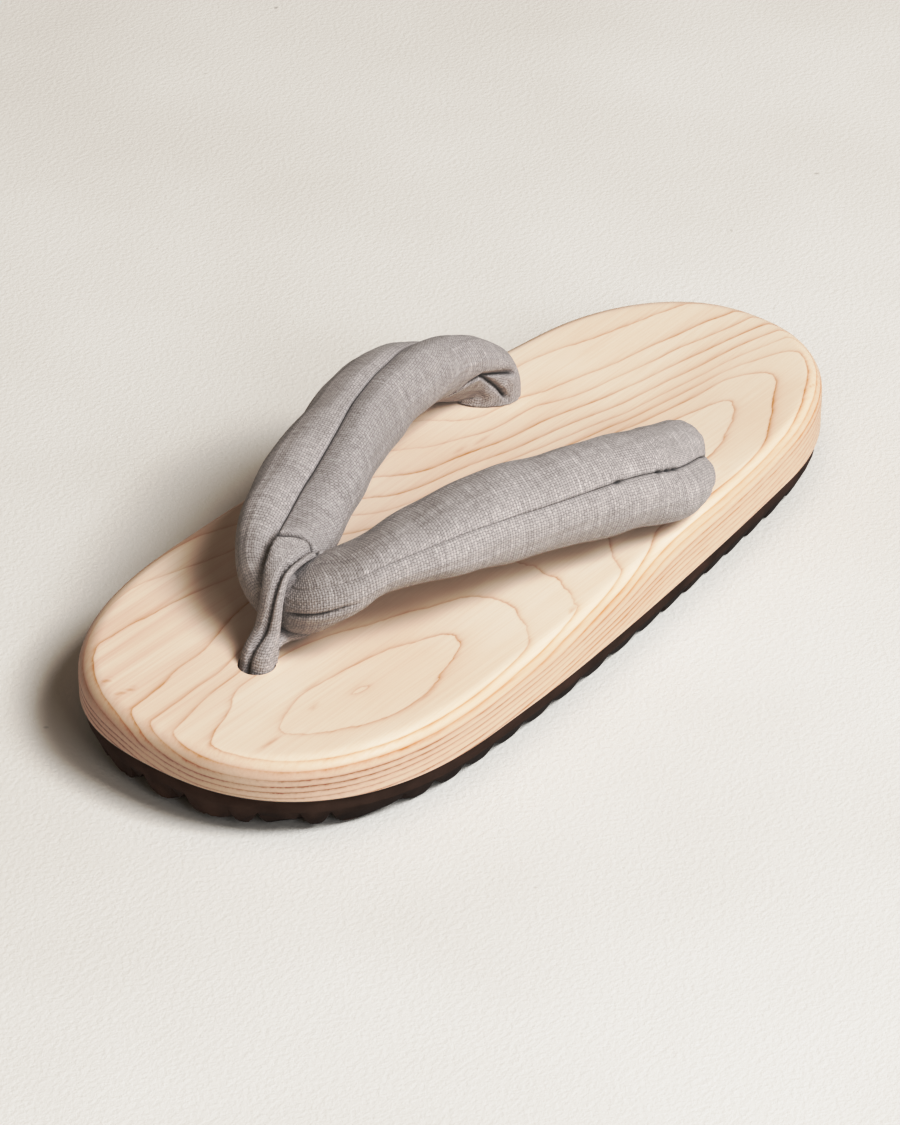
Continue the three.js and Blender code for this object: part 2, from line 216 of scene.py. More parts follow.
# Year rings that show on the footbed: each row has the ring's number and points along its line
YEAR_LINES = (
    (-1, ((-112, -33), (-90, -40), (-60, -47))),
    (0, ((-122, -18.6), (-110, -22.4), (-97, -25.3), (-89, -28), (-82, -31), (-67, -35))),
    (1, ((-127, -5), (-105, -10.8), (-81, -16), (-57, -21.8), (-36, -26.8), (-31, -31), (-23, -40))),
    (2, ((-127, -0.5), (-102, -7.4), (-77, -12.4), (-52, -20), (-27, -24.2), (-11, -32.4), (-4, -37))),
    (3, ((-127, 5.8), (-97, -1.8), (-67, -7.4), (-35, -14.2), (-7, -21.5), (6, -31))),
    (4, ((-125, 10), (-97, 3.2), (-65, -3), (-28, -10.5), (0, -18), (8, -21), (18, -28))),
    (5, ((-124, 14.2), (-97, 7), (-65, 2), (-40, -4), (-8, -12), (17, -19), (26, -27))),
    (5, ((66, -40.5), (75, -44), (85, -46), (95, -48))),
    (6, ((-92, 9.5), (-112, 15.8), (-119, 19.5), (-116, 26), (-102, 34.5), (-92, 42))),
    (6, ((-67, 5), (-40, 0), (-8, -8), (81, -33), (100, -34.6), (120, -35))),
    (7, ((-55, 5.8), (-70, 8.9), (-95, 12.6), (-101, 16.4), (-105, 21.4), (-100, 26.4), (-92, 30.8))),
    (7, ((-81, 37.6), (-67, 43), (-50, 45), (-16, 44.5), (-10, 49.5))),
    (7, ((-20, -2), (20, -8), (92, -13.6), (104, -12.8), (115, -10.8), (131, -10))),
    (8, ((-5, 40.8), (0, 47), (4, 51.4), (-30, 22), (10, 4), (100, -4), (115, -4), (132, -3.6))),
    (9, ((15.6, 25.8), (16.2, 34.5), (18.8, 44.5), (23.8, 50.8), (27, 54))),
    (9, ((40, 8), (101, 0), (110, 0.2), (120, 2.6), (128, 4))),
    (10, ((102.5, 3.2), (107.5, 9), (115, 10.8), (120, 13.2), (124.4, 17), (126, 26))),
    (10, ((86, 3), (72.5, 6.4), (57.5, 13.2), (45, 19.5), (36, 24.5), (32, 29))),
    (10, ((32, 35), (36, 40.8), (41, 48), (49, 52), (57, 56))),
    (11, ((53, 32), (57.5, 28.2), (65, 24.5), (75, 22.2), (85, 20.8), (95, 20.5), (102.5, 22))),
    (11, ((108.8, 24.8), (105, 29.5), (97.5, 35), (90, 39.5), (81, 41.6), (72.5, 40), (64, 37))),
    (11.86, ((80, 27.4), (84, 27), (88, 26.8))),
)
# Small resin flecks on the footbed: x, y, length and strength
FLECKS = (
    (122.0, -25.0, 1.6, 0.8),
    (120.5, -17.4, 1.5, 0.7),
    (124.0, -18.4, 2.2, 0.8),
    (116.0, 25.6, 4.0, 0.6),
    (97.0, 24.0, 1.4, 0.5),
    (22.0, 49.5, 1.2, 0.6),
    (-28.0, -20.5, 4.0, 0.4),
    (-20.0, -22.0, 3.0, 0.4),
    (-108.0, 34.2, 3.2, 0.6),
    (-58.0, 40.5, 2.0, 0.3),
)
FLECK_HALF_HEIGHT = 0.55
FLECK_STRENGTH = 0.75


def end_round(end, from_tip):
    rest = np.clip(1.0 - from_tip / end["length"], 0.0, 1.0)
    return np.clip(1.0 - rest ** end["roundness"], 0.0, 1.0) ** (1.0 / end["roundness"])


def base_outline():
    """Points round the base, counter-clockwise seen from above, from the heel tip."""
    turn = np.linspace(0.0, math.pi, OUTLINE_STEPS + 1)
    from_heel = LENGTH / 2 * (1.0 - np.cos(turn))
    back = np.clip(1.0 - from_heel / HEEL_TAPER["length"], 0.0, 1.0)
    tapered = MAX_HALF_WIDTH - HEEL_TAPER["narrowing"] * back ** HEEL_TAPER["power"]
    half_width = tapered * end_round(HEEL_END, from_heel) * end_round(TOE_END, LENGTH - from_heel)
    right = np.stack([from_heel - LENGTH / 2, -half_width], 1)
    left = np.stack([from_heel - LENGTH / 2, half_width], 1)[-2:0:-1]
    return np.concatenate([right, left])


def footbed_level(x):
    return FOOTBED_AT_HEEL + (FOOTBED_AT_TOE - FOOTBED_AT_HEEL) * (x / LENGTH + 0.5)


def footbed(x, y):
    z = footbed_level(x)
    for hollow in HOLLOWS:
        far_x = (x - hollow["x"]) / hollow["reach_x"]
        z = z - hollow["depth"] * np.exp(-far_x ** 2 - (y / hollow["reach_y"]) ** 2)
    return z


def under_face(x):
    into = np.clip(x - (LENGTH / 2 - TOE_SPRING["length"]), 0.0, None) / TOE_SPRING["length"]
    return OUTSOLE_HEIGHT + TOE_SPRING["rise"] * into ** 2


def ring_mesh(name, rings, capped):
    """A mesh over closed rings of equal count, in millimetres; ends get a face when capped."""
    count = len(rings[0])
    points = np.concatenate(rings) * MM
    faces = []
    for row in range(len(rings) - 1):
        for k in range(count):
            after = (k + 1) % count
            low = row * count
            faces.append((low + k, low + after, low + count + after, low + count + k))
    if capped:
        faces.append(tuple(reversed(range(count))))
        faces.append(tuple(range((len(rings) - 1) * count, len(rings) * count)))
    mesh = bpy.data.meshes.new(name)
    mesh.from_pydata(points.tolist(), [], faces)
    return mesh


def close_mesh(mesh):
    """Merges doubled points and turns every face outwards."""
    work = bmesh.new()
    work.from_mesh(mesh)
    bmesh.ops.remove_doubles(work, verts=work.verts, dist=0.004 * MM)
    bmesh.ops.recalc_face_normals(work, faces=work.faces)
    work.to_mesh(mesh)
    work.free()


def base_rings():
    outline = base_outline()

    def ring(inset, height):
        shrink = np.array([1.0 - 2.0 * inset / LENGTH, 1.0 - inset / MAX_HALF_WIDTH])
        flat = outline * shrink
        return np.column_stack([flat, height(flat[:, 0], flat[:, 1])])

    def inner(share, height):
        shrink = np.array([1.0 - 2.0 * TOP_ROUNDING / LENGTH, 1.0 - TOP_ROUNDING / MAX_HALF_WIDTH])
        flat = outline * shrink * np.array([SPINE_SCALE + (1.0 - SPINE_SCALE) * share, share])
        return np.column_stack([flat, height(flat[:, 0], flat[:, 1])])

    def wall(x, y, share):
        low = under_face(x) + LOWER_BEVEL
        high = footbed(x, y) - TOP_ROUNDING
        return low + (high - low) * share

    rings = [inner(0.0, lambda x, y: under_face(x)), ring(LOWER_BEVEL, lambda x, y: under_face(x))]
    for share in np.linspace(0.0, 1.0, WALL_RINGS):
        rings.append(ring(0.0, lambda x, y: wall(x, y, share)))
    for angle in np.radians(np.linspace(0, 90, ROUNDING_RINGS))[1:]:
        fall = TOP_ROUNDING * (1.0 - math.sin(angle))
        inset = TOP_ROUNDING * (1.0 - math.cos(angle))
        rings.append(ring(inset, lambda x, y: footbed(x, y) - fall))
    for share in np.linspace(1.0, 0.0, TOP_SHARES + 1)[1:]:
        rings.append(inner(share, footbed))
    return rings


def combine(piece, other, name, operation, solver):
    """Joins another piece to a piece or cuts it out of it, and removes that other piece."""
    step = piece.modifiers.new(name, "BOOLEAN")
    step.operation = operation
    step.solver = solver
    step.object = other
    mesh = as_plain_mesh(piece)
    bpy.data.objects.remove(other)
    return mesh


def bore(piece, hole):
    """Cuts a round hole right through the board."""
    cutter_mesh = bpy.data.meshes.new("drill")
    drill = bmesh.new()
    place = Matrix.Translation((hole["x"] * MM, hole["y"] * MM, DRILL["middle"] * MM))
    radius = hole["radius"] * MM
    bmesh.ops.create_cone(drill, cap_ends=True, segments=DRILL["sides"], radius1=radius, radius2=radius,
                          depth=DRILL["length"] * MM, matrix=place)
    drill.to_mesh(cutter_mesh)
    drill.free()
    combine(piece, put_in_scene("drill", cutter_mesh), "bore", "DIFFERENCE", "EXACT")


def year_count(x, y):
    """Number of the year ring at each place of the footbed, smooth through the lines above."""
    crosswise = 1.7
    slack = 40.0
    known = np.array([(px, py * crosswise, ring) for ring, line in YEAR_LINES for px, py in line])
    count = len(known)

    def bend(far_squared):
        return 0.5 * far_squared * np.log(far_squared + 1e-9)

    def far_squared(ax, ay):
        return (ax[:, None] - known[None, :, 0]) ** 2 + (ay[:, None] - known[None, :, 1]) ** 2

    system = np.zeros((count + 3, count + 3))
    system[:count, :count] = bend(far_squared(known[:, 0], known[:, 1])) + slack * np.eye(count)
    system[:count, count:] = np.column_stack([np.ones(count), known[:, :2]])
    system[count:, :count] = system[:count, count:].T
    weights = np.linalg.solve(system, np.concatenate([known[:, 2], np.zeros(3)]))
    bent = bend(far_squared(x, y * crosswise)) @ weights[:count]
    return bent + weights[count] + weights[count + 1] * x + weights[count + 2] * y * crosswise


def ring_number(x, y, z):
    return year_count(x, y) - (footbed(x, y) - z) / YEAR_RING


def mark_grain(mesh):
    """Stores the year ring, the width of a ring on the surface and the flecks at every point."""
    count = len(mesh.vertices)
    place = np.zeros(count * 3)
    mesh.vertices.foreach_get("co", place)
    x, y, z = place.reshape(-1, 3).T / MM
    facing = np.zeros(count * 3)
    mesh.vertex_normals.foreach_get("vector", facing)
    facing = facing.reshape(-1, 3)
    rings = ring_number(x, y, z)
    step = 0.5
    slope_x = (ring_number(x + step, y, z) - rings) / step
    slope_y = (ring_number(x, y + step, z) - rings) / step
    slope = np.stack([slope_x, slope_y, np.full(count, 1 / YEAR_RING)], 1)
    on_surface = slope - facing * (slope * facing).sum(1)[:, None]
    width = 1 / np.maximum(np.linalg.norm(on_surface, axis=1), 1 / WIDEST_RING)
    flecks = np.zeros(count)
    for fleck_x, fleck_y, long, strong in FLECKS:
        along = (x - fleck_x) / long
        across = (y - fleck_y) / FLECK_HALF_HEIGHT
        flecks = np.maximum(flecks, strong * np.exp(-along ** 2 - across ** 2))
    for name, values in (("year_rings", rings), ("ring_width", width), ("flecks", flecks)):
        mesh.attributes.new(name, "FLOAT", "POINT").data.foreach_set("value", values)


def fade(material, distance, reach):
    """One at no distance and falling off over the reach."""
    return calc(material, "EXPONENT", times(material, distance, -1 / reach))


def sanded_softwood():
    wood, shader = start_material("sanded_softwood")
    place = add_node(wood, "TexCoord").outputs["Object"]
    rings, width, flecks = (add_node(wood, "Attribute", attribute_name=name).outputs["Fac"]
                            for name in ("year_rings", "ring_width", "flecks"))
    ripple = stretched_noise(wood, place, (45.0, 170.0, 170.0), detail=4.0, roughness=0.55)
    spread = add_node(wood, "SeparateXYZ", {0: place})
    toe = remap(wood, spread.outputs[0], 0.03, 0.12, 0.25, 1.0)
    on_side = remap(wood, spread.outputs[2], 0.0225, 0.0190, 0.0, 1.0)
    wander = stretched_noise(wood, place, (10.0, 14.0, 24.0), detail=2.0)
    wandered = calc(wood, "MULTIPLY_ADD", times(wood, wander, on_side), YEAR_LINE["wander"], rings)
    years = calc(wood, "MULTIPLY_ADD", ripple, YEAR_LINE["ripple"], wandered)
    part_of_year = calc(wood, "FRACT", years)
    this_year = add_node(wood, "TexWhiteNoise", {"W": calc(wood, "FLOOR", years)},
                         noise_dimensions="1D").outputs["Value"]
    fray = stretched_noise(wood, place, (110.0, 900.0, 900.0), detail=4.0, roughness=0.65)
    frayed = times(wood, calc(wood, "SUBTRACT", fray, YEAR_LINE["fray_middle"]), YEAR_LINE["fray"])
    to_line = times(wood, calc(wood, "SUBTRACT", 1.0, part_of_year), width)
    to_line = calc(wood, "MAXIMUM", calc(wood, "ADD", to_line, frayed), 0.0)
    thinner = calc(wood, "MULTIPLY_ADD", on_side, YEAR_LINE["thinner_on_side"], 1.0)
    to_line = times(wood, to_line, thinner)
    past_line = times(wood, part_of_year, width)
    soft_side = fade(wood, to_line, YEAR_LINE["soft_side"])
    line = calc(wood, "MAXIMUM", soft_side, fade(wood, past_line, YEAR_LINE["sharp_side"]))
    halo = times(wood, fade(wood, to_line, YEAR_LINE["halo"]), YEAR_LINE["halo_strength"])
    strength = stretched_noise(wood, place, (14.0, 60.0, 90.0), detail=2.0)
    drawn = calc(wood, "MULTIPLY_ADD", line, YEAR_LINE["strength"], halo)
    uneven = times(wood, remap(wood, strength, 0.3, 0.7, 0.35, 1.0),
                   remap(wood, this_year, 0.0, 1.0, 0.50, 1.10))
    side_at_toe = times(wood, on_side, toe)
    bolder = calc(wood, "MULTIPLY_ADD", side_at_toe, YEAR_LINE["bolder_at_toe"], 1.0)
    late = times(wood, times(wood, drawn, uneven), bolder)
    dark = calc(wood, "MAXIMUM", late, times(wood, flecks, FLECK_STRENGTH))
    fibres = stretched_noise(wood, place, (30.0, 1500.0, 1500.0), detail=5.0, roughness=0.65)
    streaks = stretched_noise(wood, place, (9.0, 330.0, 330.0), detail=4.0, roughness=0.6)
    clouds = stretched_noise(wood, place, (22.0, 40.0, 40.0), detail=2.0)
    ground = mix_colours(wood, remap(wood, clouds, 0.35, 0.7, 0.0, 0.75), EARLY_WOOD, PALE_WOOD)
    # The rounded rim and the side walls are painted darker, as shade
    ground = mix_colours(wood, remap(wood, facing_up(wood), 0.97, 0.55, 0.0, 0.9), ground, SIDE_WOOD_PAINTED_SHADE)
    outer_side = remap(wood, spread.outputs[1], 0.01, -0.045, 0.30, 1.0)
    blush = times(wood, times(wood, toe, outer_side), remap(wood, streaks, 0.40, 0.66, 0.10, 0.75))
    blushed = mix_colours(wood, blush, ground, BLUSH_WOOD)
    streaked = calc(wood, "ADD", dark, remap(wood, fibres, 0.42, 0.75, 0.0, 0.13))
    late_colour = mix_colours(wood, side_at_toe, LATE_WOOD, LATE_AT_TOE)
    colour = mix_colours(wood, streaked, blushed, late_colour)
    connect(wood, colour, shader.inputs["Base Color"])
    connect(wood, remap(wood, fibres, 0.3, 0.7, 0.46, 0.60), shader.inputs["Roughness"])
    shader.inputs["Specular IOR Level"].default_value = 0.32
    relief = calc(wood, "MULTIPLY_ADD", late, YEAR_LINE["relief"], fibres)
    add_bump(wood, shader, relief, strength=0.10, distance=0.12 * MM)
    return wood


base_mesh = ring_mesh("base", base_rings(), False)
close_mesh(base_mesh)
base = put_in_scene("base", base_mesh)
for hole in HOLES:
    bore(base, hole)
mark_grain(base.data)
finish_surface(base.data, WOOD_SHARP_ANGLE, sanded_softwood())
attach(base, "root")
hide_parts("wood_base")


# Strap: grey linen cloth sewn into a tube round soft padding, one seam along each arm. The arms
# are joined in the fold at the toe loop, and their ends are pulled down into the two rear holes.
STRAP_COLUMNS = ("x", "y", "z", "turn", "half_width", "rise", "drop", "tilt")
STRAP_ROWS = (
    (73.3, -2.4, 11.2, -14, 10.0, 8.9, 8.3, 0),
    (73.3, 2.4, 11.2, 14, 10.0, 8.9, 8.3, 0),
    (72.1, 8.7, 16.2, 38, 11.0, 7.4, 6.7, 3),
    (60.0, 15.0, 20.0, 61, 13.4, 7.9, 7.0, -21),
    (40.0, 22.5, 22.0, 69, 13.6, 10.3, 9.4, -5.5),
    (16.0, 31.1, 21.5, 70, 12.6, 12.1, 11.1, 20),
    (-8.0, 38.2, 18.8, 72, 13.2, 11.5, 10.6, 25),
    (-25.5, 41.5, 14.3, 75, 13.8, 10.1, 8.8, 27),
    (-39.9, 38.0, 10.1, 64.5, 12.0, 8.8, 7.4, 33),
    (-46.8, 34.6, 4.6, 64, 10.3, 6.8, 6.6, 20),
    (-46.3, 34.6, -7.0, 64, 9.8, 8.0, 7.5, 10),
)
LAST_ROW = len(STRAP_ROWS) - 1
# Rings of the mesh along an arm: from row, to row and their number
ARM_RINGS = ((0, 3, 66), (3, 7, 102), (7, LAST_ROW, 88))
STRAP_FULLNESS = 2.25
STRAP_RING = 170
CLOTH_SHARP_ANGLE = math.radians(70)
PLUG = {"from_row": 9.45, "radius": 5.6, "deep": 7.0}
# How close the cloth lies to the footbed, how softly it is pressed, and where its weave is even
CLEARANCE = 0.3
PRESS = 0.5
EVEN_ROW = 5.0
# The seam of the left arm (1) and the right arm (-1) at each row: its turn from the top of the
# section in degrees, the depth of its groove and how dark its slit is painted, as shade
SEAM_TURN = {1: (0, 0, 40, 73, 58, 36, 22, 15, 10, 5, 0),
             -1: (0, 0, 6, 6, -7, -28, -28, -11, -5, -5, -5)}
SEAM_DEPTH = {1: (0.3, 0.3, 0.3, 0.4, 0.7, 1.1, 1.6, 2.0, 2.0, 2.0, 2.0),
              -1: (1.6, 1.6, 1.7, 1.9, 2.0, 2.1, 2.1, 2.0, 1.8, 1.8, 1.8)}
SEAM_SHADE = {1: (0.0, 0.0, 0.0, 0.05, 0.12, 0.30, 0.60, 0.80, 0.85, 0.8, 0.8),
              -1: (0.9, 0.9, 0.9, 0.95, 0.95, 0.9, 0.8, 0.7, 0.6, 0.5, 0.5)}
SEAM_SHAPE = {"lobes": 0.75, "spread": 16.0, "slit": 0.55, "pinch": 1.7, "shade": 0.34}
# Shade painted beside the seam of the right arm: angle from the seam, spread and strength
PAINTED_SHADE_BESIDE_SEAM = {1: (), -1: ((360, 26, 0.22), (360, 150, 0.05))}
# Places along each arm where the seam gapes between two stitches, from its front end; each gap
# is sunk and painted dark, as shade
SEAM_GAPS = {1: (95.3, 109.0, 112.4, 115.3), -1: (141.0,)}
SEAM_GAP = {"depth": 1.3, "long": 0.9, "wide": 2.6}
# Where the mesh is finer round a section: angle from the seam, spread and extra density
FINE_BANDS = {1: ((0, 9, 6.0), (360, 9, 6.0), (70, 30, 1.6)),
              -1: ((0, 9, 6.0), (360, 9, 6.0), (265, 42, 1.6))}
# Folds pressed into the cloth, as lines over the left arm (1), mirrored for the right arm (-1):
# two at the foot of each arm, the lower seam and a short one beside the toe loop
# Each crease is sunk and painted dark along its line, as shade
STRAP_CREASES = (
    {"line": ((-29.6, 33.0, 34.5), (-33.5, 30.3, 36.6), (-38.4, 28.8, 37.9), (-41.9, 28.1, 37.1),
              (-45.6, 27.2, 36.0), (-50.7, 26.5, 34.0)),
     "depth": 1.8, "width": 0.65, "shade": 0.9, "fade": 2.0, "arms": (1, -1)},
    {"line": ((-38.4, 28.8, 37.9), (-43.9, 28.2, 31.9), (-46.8, 26.2, 27.4)),
     "depth": 1.8, "width": 0.65, "shade": 0.9, "fade": 1.0, "arms": (1, -1)},
    {"line": ((84.5, 3.6, 36.7), (83.3, 8.3, 38.2), (81.3, 13.4, 39.8), (77.9, 18.3, 42.0),
              (73.3, 21.7, 43.2)),
     "depth": 1.0, "width": 0.45, "shade": 0.8, "fade": 11.0, "arms": (1,)},
    {"line": ((73.6, 5.0, 47.3), (72.9, 6.5, 47.5), (70.3, 12.1, 48.2)),
     "depth": 0.5, "width": 0.6, "shade": 0.2, "fade": 3.0, "arms": (1,)},
)
CREASE_SHADE_SHARPNESS = 1.5
# A line works on the cloth that lies within this distance over or under it
OFF_SURFACE = 4.0
# Padding that swells beside the creases
STRAP_SWELLS = (
    {"line": ((82.5, 5, 32.5), (80.5, 10, 34.0), (77.0, 15.5, 36.8), (72.0, 20.5, 39.6)),
     "height": 0.6, "width": 3.0},
    {"line": ((-40.0, 27.5, 40.5), (-48.0, 26.5, 38.5)), "height": 0.7, "width": 2.6},
    {"line": ((-41.5, 28.0, 30.0), (-47.0, 26.5, 32.5)), "height": 0.7, "width": 2.2},
)
# Soft waves of the padding: size, length along the arm, turns round it and start
PADDING_WAVES = (
    {"size": 0.24, "length": 47.0, "turns": 1, "start": 0.4},
    {"size": 0.18, "length": 29.0, "turns": 2, "start": 1.9},
    {"size": 0.12, "length": 17.0, "turns": 3, "start": 3.3},
    {"size": 0.06, "length": 61.0, "turns": 17, "start": 0.9},
    {"size": 0.04, "length": 83.0, "turns": 26, "start": 2.2},
)
WAVE_SHIFT = 0.7
LINEN = (0.512, 0.470, 0.453, 1.0)
LINEN_DARK = (0.200, 0.178, 0.170, 1.0)
LINEN_LIGHT = (0.760, 0.720, 0.690, 1.0)
# Near black, for the shade painted on the cloth
PAINTED_SHADE_COLOUR = (0.022, 0.018, 0.016, 1.0)
RIB_PITCH = 0.80 * MM
THREAD_PITCH = 0.74 * MM
THREAD_DRIFT = 0.5 * MM
RIB = {"height": 0.75, "on_top": 0.45, "tone": 0.7}
WARP = {"height": 0.70, "on_top": 0.25, "tone": 0.3}
SLUB_RELIEF = 0.4


def along_table(column, place):
    """Smooth values between the rows of a table column, place counted in rows."""
    last = len(column) - 1
    row = np.minimum(np.floor(place).astype(int), last - 1)
    t = place - row
    before = column[np.maximum(row - 1, 0)]
    start = column[row]
    end = column[row + 1]
    after = column[np.minimum(row + 2, last)]
    b = end - before
    c = 2 * before - 5 * start + 4 * end - after
    d = 3 * start - before - 3 * end + after
    return 0.5 * (2 * start + b * t + c * t ** 2 + d * t ** 3)


def unit(vectors):
    return vectors / np.linalg.norm(vectors, axis=-1, keepdims=True)


def follow(columns, rows, place):
    """Middle of each section of a piece, its heading there and the other values of its table."""
    table = {name: np.array(column, float) for name, column in zip(columns, zip(*rows))}
    value = {name: along_table(column, place) for name, column in table.items()}
    step = 0.01

    def middle(at):
        x = along_table(table["x"], at)
        z = along_table(table["z"], at) + footbed_level(x)
        return np.stack([x, along_table(table["y"], at), z], 1)

    ahead = middle(np.minimum(place + step, len(rows) - 1))
    return middle(place), unit(ahead - middle(np.maximum(place - step, 0))), value


def full_round(angle, fullness):
    """How far a section fuller than an ellipse reaches across and over at each angle."""
    across = np.sign(np.sin(angle)) * np.abs(np.sin(angle)) ** (2 / fullness)
    over = np.sign(np.cos(angle)) * np.abs(np.cos(angle)) ** (2 / fullness)
    return across, over


def distance_to_line(points, outer, line):
    """Distance of every point to a run of straight lines, measured along the surface."""
    nearest = np.full(points.shape[:-1], np.inf)
    for start, end in zip(line[:-1], line[1:]):
        start = np.array(start, float)
        step = np.array(end, float) - start
        share = np.clip((points - start) @ step / (step @ step), 0.0, 1.0)
        apart = points - start - share[..., None] * step
        off_surface = (apart * outer).sum(-1)
        along_surface = np.sqrt(np.maximum((apart ** 2).sum(-1) - off_surface ** 2, 0.0))
        reached = np.where(np.abs(off_surface) < OFF_SURFACE, along_surface, np.inf)
        nearest = np.minimum(nearest, reached)
    return nearest


def ring_angles(bands):
    """Angles round a section, from the seam, closer together inside the given bands."""
    fine = np.linspace(0, 360, 3601)
    density = np.ones(len(fine))
    for middle, spread, extra in bands:
        density += extra * np.exp(-((fine - middle) / spread) ** 2)
    share = np.concatenate([[0.0], np.cumsum(density[1:] + density[:-1])])
    return np.radians(np.interp(np.arange(STRAP_RING) / STRAP_RING, share / share[-1], fine))


def girth_of(points):
    """Length of cloth round each ring, from its first point on."""
    chords = np.linalg.norm(np.diff(points, axis=1, append=points[:, :1]), axis=2)
    return np.concatenate([np.zeros((len(points), 1)), np.cumsum(chords, axis=1)], axis=1)


def length_of(points, start):
    """Length of cloth along the tube at every point, from the ring at the start."""
    gone = np.linalg.norm(np.diff(points, axis=0), axis=2)
    length = np.concatenate([np.zeros((1, points.shape[1])), np.cumsum(gone, axis=0)])
    length = length - length[start]
    return np.concatenate([length, length[:, :1]], axis=1)


def plug_into_hole(points, place):
    """Turns the last sections into a round plug in the rear hole of the left side."""
    hole = HOLES[1]
    axis = np.array([hole["x"], hole["y"]])
    inside = place >= PLUG["from_row"]
    from_axis = points[inside][..., :2] - axis
    points[inside, :, :2] = axis + unit(from_axis) * PLUG["radius"]
    sunk = (place[inside] - PLUG["from_row"]) / (LAST_ROW - PLUG["from_row"])
    points[inside, :, 2] = (footbed(*axis) - PLUG["deep"] * sunk)[:, None]


def strap_arm(side):
    """Points of one arm ring by ring, the cloth's length and girth there and its painted shade."""
    place = np.concatenate([np.linspace(first, last, count, endpoint=last == LAST_ROW)
                            for first, last, count in ARM_RINGS])
    centre, along, value = follow(STRAP_COLUMNS, STRAP_ROWS, place)
    turn = np.radians(value["turn"])
    outward = np.stack([np.cos(turn), np.sin(turn), np.zeros(len(turn))], 1)
    outward = unit(outward - along * (outward * along).sum(1)[:, None])
    upward = np.cross(outward, along)
    tilt = np.radians(value["tilt"])[:, None]
    tilted_out = outward * np.cos(tilt) + np.cross(along, outward) * np.sin(tilt)
    tilted_up = upward * np.cos(tilt) + np.cross(along, upward) * np.sin(tilt)
    gone = np.linalg.norm(np.diff(centre, axis=0), axis=1)
    length = np.concatenate([[0.0], np.cumsum(gone)])

    from_seam = ring_angles(FINE_BANDS[side])
    seam_turn = np.radians(along_table(np.array(SEAM_TURN[side], float), place))
    angle = from_seam[None, :] + seam_turn[:, None]
    across, over = full_round(angle, STRAP_FULLNESS)
    to_seam = np.degrees(np.minimum(from_seam, 2 * math.pi - from_seam))
    lobes = SEAM_SHAPE["lobes"] * np.exp(-(to_seam / SEAM_SHAPE["spread"]) ** 2)
    slit = SEAM_SHAPE["slit"] * np.exp(-to_seam / SEAM_SHAPE["pinch"])
    depth = along_table(np.array(SEAM_DEPTH[side], float), place)
    groove = depth[:, None] * (lobes + slit)[None, :]
    gape = np.zeros(angle.shape)
    for gap in SEAM_GAPS[side]:
        open_along = np.exp(-((length - gap) / SEAM_GAP["long"]) ** 2)
        open_across = np.exp(-(to_seam / SEAM_GAP["wide"]) ** 2)
        gape = np.maximum(gape, open_along[:, None] * open_across[None, :])
    groove = groove + SEAM_GAP["depth"] * gape
    height = np.where(over > 0, value["rise"][:, None], value["drop"][:, None])
    size = 1 - groove / height
    wide = across * value["half_width"][:, None] * size
    high = over * height * size
    points = centre[:, None, :] + tilted_out[:, None, :] * wide[..., None]
    points = points + tilted_up[:, None, :] * high[..., None]

    girth = girth_of(points)
    from_slit = np.minimum(girth[:, :-1], girth[:, -1:] - girth[:, :-1])
    seam_shade = along_table(np.array(SEAM_SHADE[side], float), place)
    # The seam's slit and its gaps are painted dark, as shade
    shade = seam_shade[:, None] * np.exp(-(from_slit / SEAM_SHAPE["shade"]) ** 2)
    shade = np.maximum(shade, gape)
    # A soft band of shade is painted beside the seam
    for beside, spread, strength in PAINTED_SHADE_BESIDE_SEAM[side]:
        band_shade = strength * np.exp(-((np.degrees(from_seam) - beside) / spread) ** 2)
        shade = np.maximum(shade, band_shade[None, :])

    outer = unit(points - centre[:, None, :])
    moved = np.zeros(angle.shape)
    for wave in PADDING_WAVES:
        phase = 2 * math.pi * length[:, None] / wave["length"] + wave["turns"] * from_seam[None, :]
        moved += wave["size"] * np.sin(phase + wave["start"] * (1 + WAVE_SHIFT * side))
    for swell in STRAP_SWELLS:
        away = distance_to_line(points, outer, swell["line"]) / swell["width"]
        moved += swell["height"] * np.exp(-away ** 2)
    for crease in STRAP_CREASES:
        if side not in crease["arms"]:
            continue
        away = distance_to_line(points, outer, crease["line"]) / crease["width"]
        to_end = np.linalg.norm(points - np.array(crease["line"][-1]), axis=-1)
        held = np.clip(to_end / crease["fade"], 0.0, 1.0)
        moved -= held * crease["depth"] * np.exp(-away ** 2)
        # The crease is painted dark along its line, as shade
        dark = np.exp(-(CREASE_SHADE_SHARPNESS * away) ** 2)
        shade = np.maximum(shade, held * crease["shade"] * dark)
    points = points + outer * moved[..., None]
    floor = footbed(points[..., 0], points[..., 1]) + CLEARANCE
    points[..., 2] = floor + PRESS * np.logaddexp(0, (points[..., 2] - floor) / PRESS)
    plug_into_hole(points, place)
    points[..., 1] *= side
    even_ring = int(np.argmin(np.abs(place - EVEN_ROW)))
    return points, length_of(points, even_ring), girth, shade


def cloth_tube(name, points, length, girth, shade):
    """A closed tube of cloth whose UV map holds length and girth in metres."""
    mesh = ring_mesh(name, list(points), True)
    count = points.shape[1]
    weave = mesh.uv_layers.new(name="weave")
    uv = np.zeros((len(mesh.loops), 2))
    loop = 0
    for row in range(len(points) - 1):
        for k in range(count):
            for ring, spot in ((row, k), (row, k + 1), (row + 1, k + 1), (row + 1, k)):
                uv[loop] = (length[ring][spot], girth[ring][spot])
                loop += 1
    weave.data.foreach_set("uv", (uv * MM).ravel())
    # The shade painted at every point, kept for the cloth's colour
    mesh.attributes.new("painted_shade", "FLOAT", "POINT").data.foreach_set("value", shade.ravel())
    close_mesh(mesh)
    return mesh


